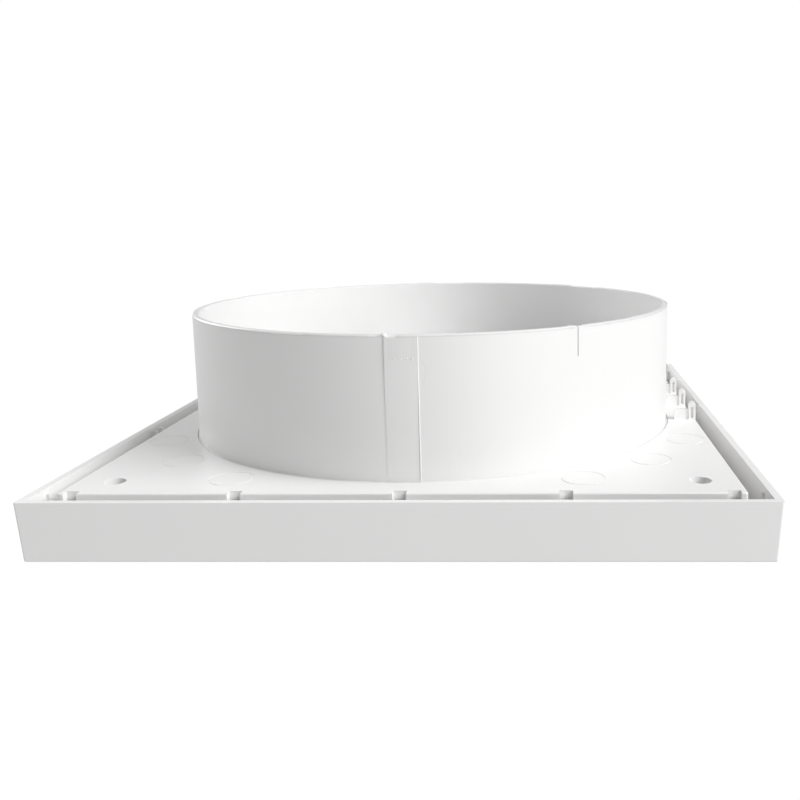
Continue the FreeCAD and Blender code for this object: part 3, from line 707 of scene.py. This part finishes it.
def on_a_strip(point):
    """Whether the middle of a face lies on the outside of one of the four strips."""
    outside = math.hypot(point.x, point.y) > SPIGOT_R - 0.05 * MM
    return outside and REAR_PLANE + SEAM < point.z < STRIP_TOP and off_quarter(point) < strip_half


def scale_from_axis(factor):
    """Moves the selection towards or away from the spigot's axis."""
    bpy.ops.transform.resize(value=(factor, factor, 1), center_override=(0, 0, 0))


picked = pick(spigot, "faces", on_a_strip)
bpy.ops.mesh.extrude_region_move()
scale_from_axis((SPIGOT_R + STRIP_PROUD) / SPIGOT_R)
for height, sink in STRIP_SINKS:
    def on_ring(point, height=height):
        raised = math.hypot(point.x, point.y) > SPIGOT_R + STRIP_PROUD / 2
        return raised and abs(point.z - height) < 0.1 * MM
    pick(spigot, "verts", on_ring)
    scale_from_axis(1 - sink / SPIGOT_R)
print("strip faces raised:", picked)

# %% [markdown]
# The lip isn't true. The trimmer left it a few tenths of a millimetre high or low over short arcs: a
# spike and a chip at the front strip, a burr beside the slit, and gentle steps round the rest.

# %% Nick and lift the lip
LIP_FLAWS = (                        # from and to bearing in degrees, lift in mm, part of the wall
    (-171, -165, 0.14, "outer"), (-164, -158, -0.20, "outer"), (-118, -110, -0.08, "outer"),
    (-96.2, -93.8, -0.14, "outer"), (-93.8, -93.1, 0.30, "all"), (-93, -90.8, -0.30, "outer"),
    (-75, -68, -0.06, "outer"), (-56, -54.6, 0.16, "all"), (-53.6, -52, -0.20, "all"),
    (-36, -30, 0.06, "all"), (41, 51, -0.22, "all"), (51, 58, 0.08, "all"), (88, 97, -0.12, "all"),
    (97, 102, 0.12, "all"), (128, 136, -0.12, "all"), (163, 168, -0.14, "all"),
)
rim_middle = (SPIGOT_R + SPIGOT_BORE) / 2
for first, last, lift, side in LIP_FLAWS:
    def on_flaw(point, first=first, last=last, side=side):
        radius = math.hypot(point.x, point.y)
        wanted = side == "all" or (radius > rim_middle) == (side == "outer")
        return wanted and point.z > LIP - 0.4 * MM and first <= bearing(point) <= last
    if pick(spigot, "verts", on_flaw):
        bpy.ops.transform.translate(value=(0, 0, lift * MM))
print("lip flaws:", len(LIP_FLAWS))

# %% [markdown]
# A slit was sawn down from the lip, some way to the right of the front strip. A thin blade subtracted
# with a Boolean cuts through the wall cleanly, and the blade is deleted afterwards.

# %% Saw the slit
SLIT_BEARING = math.radians(-54)
SLIT_WIDTH = 0.26 * MM
blade = start(bpy.ops.mesh.primitive_cube_add, "saw_blade", size=1)
bpy.ops.transform.resize(value=(10 * MM, SLIT_WIDTH, 2 * SLIT_DEPTH), center_override=(0, 0, 0))
bpy.ops.transform.translate(value=(SPIGOT_R, 0, LIP))
bpy.ops.object.mode_set(mode="OBJECT")
blade.data.transform(Matrix.Rotation(SLIT_BEARING, 4, "Z"))
bpy.ops.object.select_all(action="DESELECT")
spigot.select_set(True)
bpy.context.view_layer.objects.active = spigot
modify(spigot, "BOOLEAN", operation="DIFFERENCE", object=blade, solver="EXACT")
bpy.data.objects.remove(blade)
close(spigot, "duct_spigot", "housing", smooth=32, replaces=("duct_spigot",))

# %% [markdown]
# Six millimetres below the lip the front strip has a short row of pips, where the mould's vent pins
# end, and a thin bead runs down the strip's right edge. A pip is a small sphere, drawn out tall and
# narrowed towards its top. The bead is a thin rod that the strip half covers.

# %% Vent pips and the edge bead on the front strip
PIP_PLACES = ((-1.67, 5.8), (0.02, 5.9), (1.47, 5.75), (2.68, 5.85))   # across, and below the lip, in mm
PIP_R = 0.24 * MM
for number, (across, below) in enumerate(PIP_PLACES, 1):
    middle = (across * MM, -(SPIGOT_R + STRIP_PROUD), LIP - below * MM)
    pip = start(bpy.ops.mesh.primitive_uv_sphere_add, f"vent_pip_{number}", segments=16, ring_count=10,
                radius=PIP_R, location=middle)
    bpy.ops.transform.resize(value=(0.8, 0.45, 1.3), center_override=middle)
    pick(pip, "verts", lambda point: point.z > middle[2] + 0.2 * PIP_R)
    bpy.ops.transform.resize(value=(0.55, 0.8, 1), center_override=middle)
    close(pip, "duct_spigot", "housing")

BEAD_R = 0.14 * MM
bead_x = SPIGOT_R * math.sin(math.radians(strip_half))
bead_y = -SPIGOT_R * math.cos(math.radians(strip_half)) - 0.10 * MM
bead = start(bpy.ops.mesh.primitive_cylinder_add, "strip_edge_bead", vertices=10, radius=BEAD_R,
             depth=LIP - REAR_PLANE - 1.0 * MM, location=(bead_x, bead_y, (LIP + REAR_PLANE) / 2))
pick(bead, "edges", lambda point: point.z > LIP - 1 * MM or point.z < REAR_PLANE + 1 * MM)
bpy.ops.mesh.bevel(offset=0.06 * MM, segments=2)
close(bead, "duct_spigot", "housing")

# %% [markdown]
# ## The louvred grille
#
# The grille is what the room sees. Its slats lean, and every edge is rounded by the mould. One slat is
# modelled: a cube stretched to a slat, its long edges bevelled round, then leaned over. The rest are
# copies at the slats' pitch. The border is a square frame made by insetting a plate, and three bars
# cross behind the slats.

# %% One slat, then its copies
SLAT_PITCH = 7.2 * MM
SLAT_LEAN = math.radians(32)
SLAT_DEEP = 4.3 * MM
SLAT_THICK = 1.35 * MM
BORDER = 4.0 * MM
REACH = 1.0 * MM                     # how far slats and bars run into the border, both ends together
half = grille_high.x
inside = half - BORDER
middle_z = (grille_low.z + grille_high.z) / 2
slat_count = int((inside - 2 * MM) // SLAT_PITCH)

slat = start(bpy.ops.mesh.primitive_cube_add, "slat_pattern", size=1)
bpy.ops.transform.resize(value=(2 * inside + REACH, SLAT_DEEP, SLAT_THICK), center_override=(0, 0, 0))
pick(slat, "edges", lambda point: abs(point.x) < 1 * MM)
bpy.ops.mesh.bevel(offset=0.5 * MM, segments=4, profile=0.6)
bpy.ops.object.mode_set(mode="OBJECT")
slat.data.transform(Matrix.Rotation(SLAT_LEAN, 4, "X"))
for index in range(-slat_count, slat_count + 1):
    copy = slat.copy()
    copy.data = slat.data.copy()
    copy.name = f"grille_slat_{index + slat_count + 1:02d}"
    bpy.context.scene.collection.objects.link(copy)
    copy.data.transform(Matrix.Translation((0, index * SLAT_PITCH, middle_z)))
    close(copy, "louvre_grille", "cover", smooth=40)
bpy.data.objects.remove(slat)

# %% The border and the bars behind the slats
border = start(bpy.ops.mesh.primitive_cube_add, "grille_border", size=1, location=(0, 0, middle_z))
border_size = (2 * half, 2 * half, grille_high.z - grille_low.z)
bpy.ops.transform.resize(value=border_size, center_override=(0, 0, middle_z))
pick(border, "faces", lambda point: abs(point.z - middle_z) > 1 * MM)
bpy.ops.mesh.inset(thickness=BORDER, use_even_offset=True)
bpy.ops.mesh.bridge_edge_loops()
seal()
pick(border, "edges", lambda point: abs(point.z - middle_z) > 1 * MM)
bpy.ops.mesh.bevel(offset=0.35 * MM, segments=3)
close(border, "louvre_grille", "cover", smooth=40, replaces=("louvre_grille",))

BAR_WIDE = 2.0 * MM
BAR_THICK = 1.4 * MM
for number, x in enumerate((-40 * MM, 0, 40 * MM), 1):
    bar = start(bpy.ops.mesh.primitive_cube_add, f"grille_bar_{number}", size=1)
    bpy.ops.transform.resize(value=(BAR_WIDE, 2 * inside + REACH, BAR_THICK), center_override=(0, 0, 0))
    bpy.ops.transform.translate(value=(x, 0, grille_high.z - BAR_THICK / 2))
    pick(bar, "edges", lambda point: abs(point.y) < 1 * MM and point.z > grille_high.z - 0.1 * MM)
    bpy.ops.mesh.bevel(offset=0.4 * MM, segments=3)
    close(bar, "louvre_grille", "cover", smooth=40)

# %% [markdown]
# ## The stator's windings
#
# A coil is a bundle of round wires laid in layers, so a smooth block would look wrong wherever it
# shows. One turn is a wire bent round the pole's former; copies laid side by side and one over another
# make the bundle, and the bundle is turned to each of the four poles. Alternate layers are shifted by
# half a wire, as wound wire settles.


# %% One turn, one bundle, four poles
WIRE = 0.62 * MM
LAYERS = 3
TURNS = 6
FORMER_WIDE = 4.35 * MM              # half sizes of the bobbin that the first layer lies on
FORMER_TALL = 4.85 * MM
COIL_START = 17.4 * MM               # distance of the innermost turn from the axis
stack_low, stack_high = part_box("stator_core")
stack_middle = (stack_low.z + stack_high.z) / 2


def one_turn(name, radius, layer, shift):
    """A rounded rectangle of wire at this distance from the axis, this many layers out."""
    across = FORMER_WIDE + (layer + 0.5) * WIRE
    tall = FORMER_TALL + (layer + 0.5) * WIRE
    turn = start(bpy.ops.mesh.primitive_plane_add, name, size=2)
    bpy.ops.transform.resize(value=(across, tall, 1), center_override=(0, 0, 0))
    bpy.ops.mesh.bevel(affect="VERTICES", offset=0.9 * MM + layer * WIRE * 0.6, segments=4)
    bpy.ops.object.mode_set(mode="OBJECT")
    stand = Matrix(((0, 0, 1, 0), (1, 0, 0, 0), (0, 1, 0, 0), (0, 0, 0, 1)))
    turn.data.transform(stand)
    turn.data.transform(Matrix.Translation((radius + shift, 0, stack_middle)))
    bpy.ops.object.mode_set(mode="EDIT")
    bpy.ops.mesh.select_all(action="SELECT")
    bpy.ops.mesh.delete(type="ONLY_FACE")
    bpy.ops.object.mode_set(mode="OBJECT")
    bpy.ops.object.convert(target="CURVE")
    turn.data.bevel_depth = WIRE / 2
    turn.data.bevel_resolution = 1
    bpy.ops.object.convert(target="MESH")
    return turn


turns = []
for layer in range(LAYERS):
    for index in range(TURNS - layer % 2):
        place = COIL_START + index * WIRE * 1.05
        turns.append(one_turn(f"turn_{layer}_{index}", place, layer, (layer % 2) * WIRE / 2))
bpy.ops.object.select_all(action="DESELECT")
for turn in turns:
    turn.select_set(True)
bpy.context.view_layer.objects.active = turns[0]
bpy.ops.object.join()
bundle = bpy.context.object
for number, angle in enumerate((45, 135, 225, 315), 1):
    coil = bundle.copy()
    coil.data = bundle.data.copy()
    coil.name = f"wound_coil_{number}"
    bpy.context.scene.collection.objects.link(coil)
    coil.data.transform(Matrix.Rotation(math.radians(angle), 4, "Z"))
    close(coil, "stator_coils", "housing", smooth=60, replaces=("stator_coils",))
bpy.data.objects.remove(bundle)

# %% [markdown]
# ## The motor's two wires
#
# The wires leave the motor through a hole, lie side by side in the channel of one arm and end in the
# terminal block. They are curves with a round bevel, so that every bend is a real bend, and they are
# made mesh at the end. They are fixed internal wiring, held along the arm and at both ends.


# %% Lead wires as bevelled curves
TERMINAL_X = 74.7 * MM
TERMINAL_Y = 55.0 * MM
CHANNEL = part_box("motor_bracket")[0].z + 1.0 * MM
LEAD_R = 0.65 * MM
HALF_GAP = 0.9 * MM                  # from the channel's middle to the middle of a wire


def lead_wire(node, name, side, level, far_y, pole_x):
    """One insulated wire along the 45 degree arm; side is -1 or 1 across the channel."""
    across = side * HALF_GAP
    diagonal = math.sqrt(0.5)

    def on_arm(along, z):
        return (diagonal * (along - across), diagonal * (along + across), z)

    past = (66.8 - 0.4 * side) * MM
    route = [on_arm(25.2 * MM, 11.6 * MM), on_arm(25.2 * MM, 9.0 * MM), on_arm(25.6 * MM, CHANNEL),
             on_arm(31 * MM, CHANNEL), on_arm(50 * MM, CHANNEL), on_arm(70 * MM, CHANNEL),
             on_arm((76.8 + 0.7 * side) * MM, CHANNEL),
             ((64.7 - 0.55 * side) * MM, (52.2 + side) * MM, CHANNEL),
             (past, (57.0 + 0.6 * side) * MM, level * MM), (past, (far_y - 3.0) * MM, level * MM),
             (past + 0.4 * MM, (far_y - 0.4) * MM, level * MM), (pole_x, far_y * MM, 8.9 * MM),
             (pole_x, (far_y - 2.0) * MM, 9.0 * MM), (pole_x, TERMINAL_Y + 5.5 * MM, 9.0 * MM)]
    path = bpy.data.curves.new(name, "CURVE")
    path.dimensions = "3D"
    spline = path.splines.new("NURBS")
    spline.points.add(len(route) - 1)
    for point, place in zip(spline.points, route):
        point.co = (*place, 1)
    spline.order_u = 3
    spline.use_endpoint_u = True
    spline.resolution_u = 10
    path.bevel_depth = LEAD_R
    path.bevel_resolution = 5
    path.use_fill_caps = True
    wire = bpy.data.objects.new(name, path)
    bpy.context.scene.collection.objects.link(wire)
    bpy.ops.object.select_all(action="DESELECT")
    wire.select_set(True)
    bpy.context.view_layer.objects.active = wire
    bpy.ops.object.convert(target="MESH")
    bpy.ops.object.mode_set(mode="EDIT")
    seal()
    close(bpy.context.object, node, "housing", smooth=60, replaces=(node,))


lead_wire("motor_lead_live", "lead_wire_live", -1, 6.3, 67.2, TERMINAL_X + 2.8 * MM)
lead_wire("motor_lead_neutral", "lead_wire_neutral", 1, 8.0, 65.6, TERMINAL_X - 2.8 * MM)

# %% [markdown]
# ## The camera
#
# The fan lies on the face of its cover and the camera looks across it, low and close, from a little to
# the right of its middle. The lens is short of normal, and a small shift keeps the object framed while
# the cover's front edge stays square to the camera.

# %% Place the camera
YAW = math.radians(1.49)
PITCH = math.radians(-8.42)
ROLL = math.radians(-0.59)
eye = bpy.data.cameras.new("camera")
camera = bpy.data.objects.new("camera", eye)
bpy.context.scene.collection.objects.link(camera)
camera.location = (33.9 * MM, -288.1 * MM, 82.8 * MM)
level = Matrix.Rotation(YAW, 3, "Z") @ Matrix.Rotation(math.pi / 2 + PITCH, 3, "X")
camera.rotation_euler = (level @ Matrix.Rotation(ROLL, 3, "Z")).to_euler()
eye.sensor_width = 36.0
eye.lens = 40.14
eye.shift_x = -0.146
eye.shift_y = -0.078
eye.clip_start = 5 * MM
bpy.context.scene.camera = camera
print("camera at", [round(v / MM, 1) for v in camera.location], "mm")

# %% [markdown]
# ## A white studio
#
# The fan stands in a white room with no horizon and no cast shadow: the floor and the walls glow. Three
# large soft boxes model the shape. The key is at the right and above, so that the left of the spigot
# falls away; a rim light from behind on the left lifts the spigot's far edge and the inside of its right
# wall; and a weak fill near the camera lights the cover's front. The floor lies just below where the
# cover stops when it is pulled off. It is glass from beneath, so that the louvres can be seen.


# %% Floor, room and soft box
def glow(book, seen, given):
    """White light that looks this bright, and lights the object this much."""
    is_seen = book.node("ShaderNodeLightPath", {}, {}, "Is Camera Ray")
    return is_seen * seen + (1 - is_seen) * given


COVER_TRAVEL = 40 * MM
FLOOR_GAP = 2 * MM
SEEN = 1.02                          # what the camera sees of the floor and of the room
FLOOR_GIVEN = 0.75
ROOM_GIVEN = 0.30
bpy.ops.object.select_all(action="DESELECT")
bpy.ops.mesh.primitive_plane_add(size=6, location=(0, 0, cad_low.z - COVER_TRAVEL - FLOOR_GAP))
floor = bpy.context.object
floor.name = "floor"
paper = Book("floor_paper")
strength = glow(paper, SEEN, FLOOR_GIVEN)
light = paper.node("ShaderNodeEmission", {}, {"Color": (1, 1, 1, 1), "Strength": strength})
clear = paper.node("ShaderNodeBsdfTransparent", {}, {})
beneath = paper.node("ShaderNodeNewGeometry", {}, {}, "Backfacing")
sheet = paper.node("ShaderNodeMixShader", {}, {0: beneath, 1: light, 2: clear})
paper.tree.links.new(sheet.socket, paper.tree.nodes["Material Output"].inputs["Surface"])
floor.data.materials.append(paper.material)

world = bpy.data.worlds.new("studio")
bpy.context.scene.world = world
world.use_nodes = True
room = Book("room", world.node_tree)
background = world.node_tree.nodes["Background"]
background.inputs["Color"].default_value = (1, 1, 1, 1)
world.node_tree.links.new(glow(room, SEEN, ROOM_GIVEN).socket, background.inputs["Strength"])
bpy.context.scene.view_settings.view_transform = "Standard"


def soft_box(name, place, power):
    """Square area light, 0.6 m across, that looks at the middle of the fan."""
    data = bpy.data.lights.new(name, "AREA")
    data.shape = "SQUARE"
    data.size = 0.6
    data.energy = power
    lamp = bpy.data.objects.new(name, data)
    bpy.context.scene.collection.objects.link(lamp)
    lamp.location = place
    lamp.rotation_euler = (Vector((0, 0, 0.02)) - Vector(place)).to_track_quat("-Z", "Y").to_euler()


soft_box("key", (0.75, -0.28, 0.62), 9.5)
soft_box("rim", (-0.80, 0.45, 0.45), 5.6)
soft_box("fill", (0.60, -0.70, 0.35), 1.6)
print("studio ready")
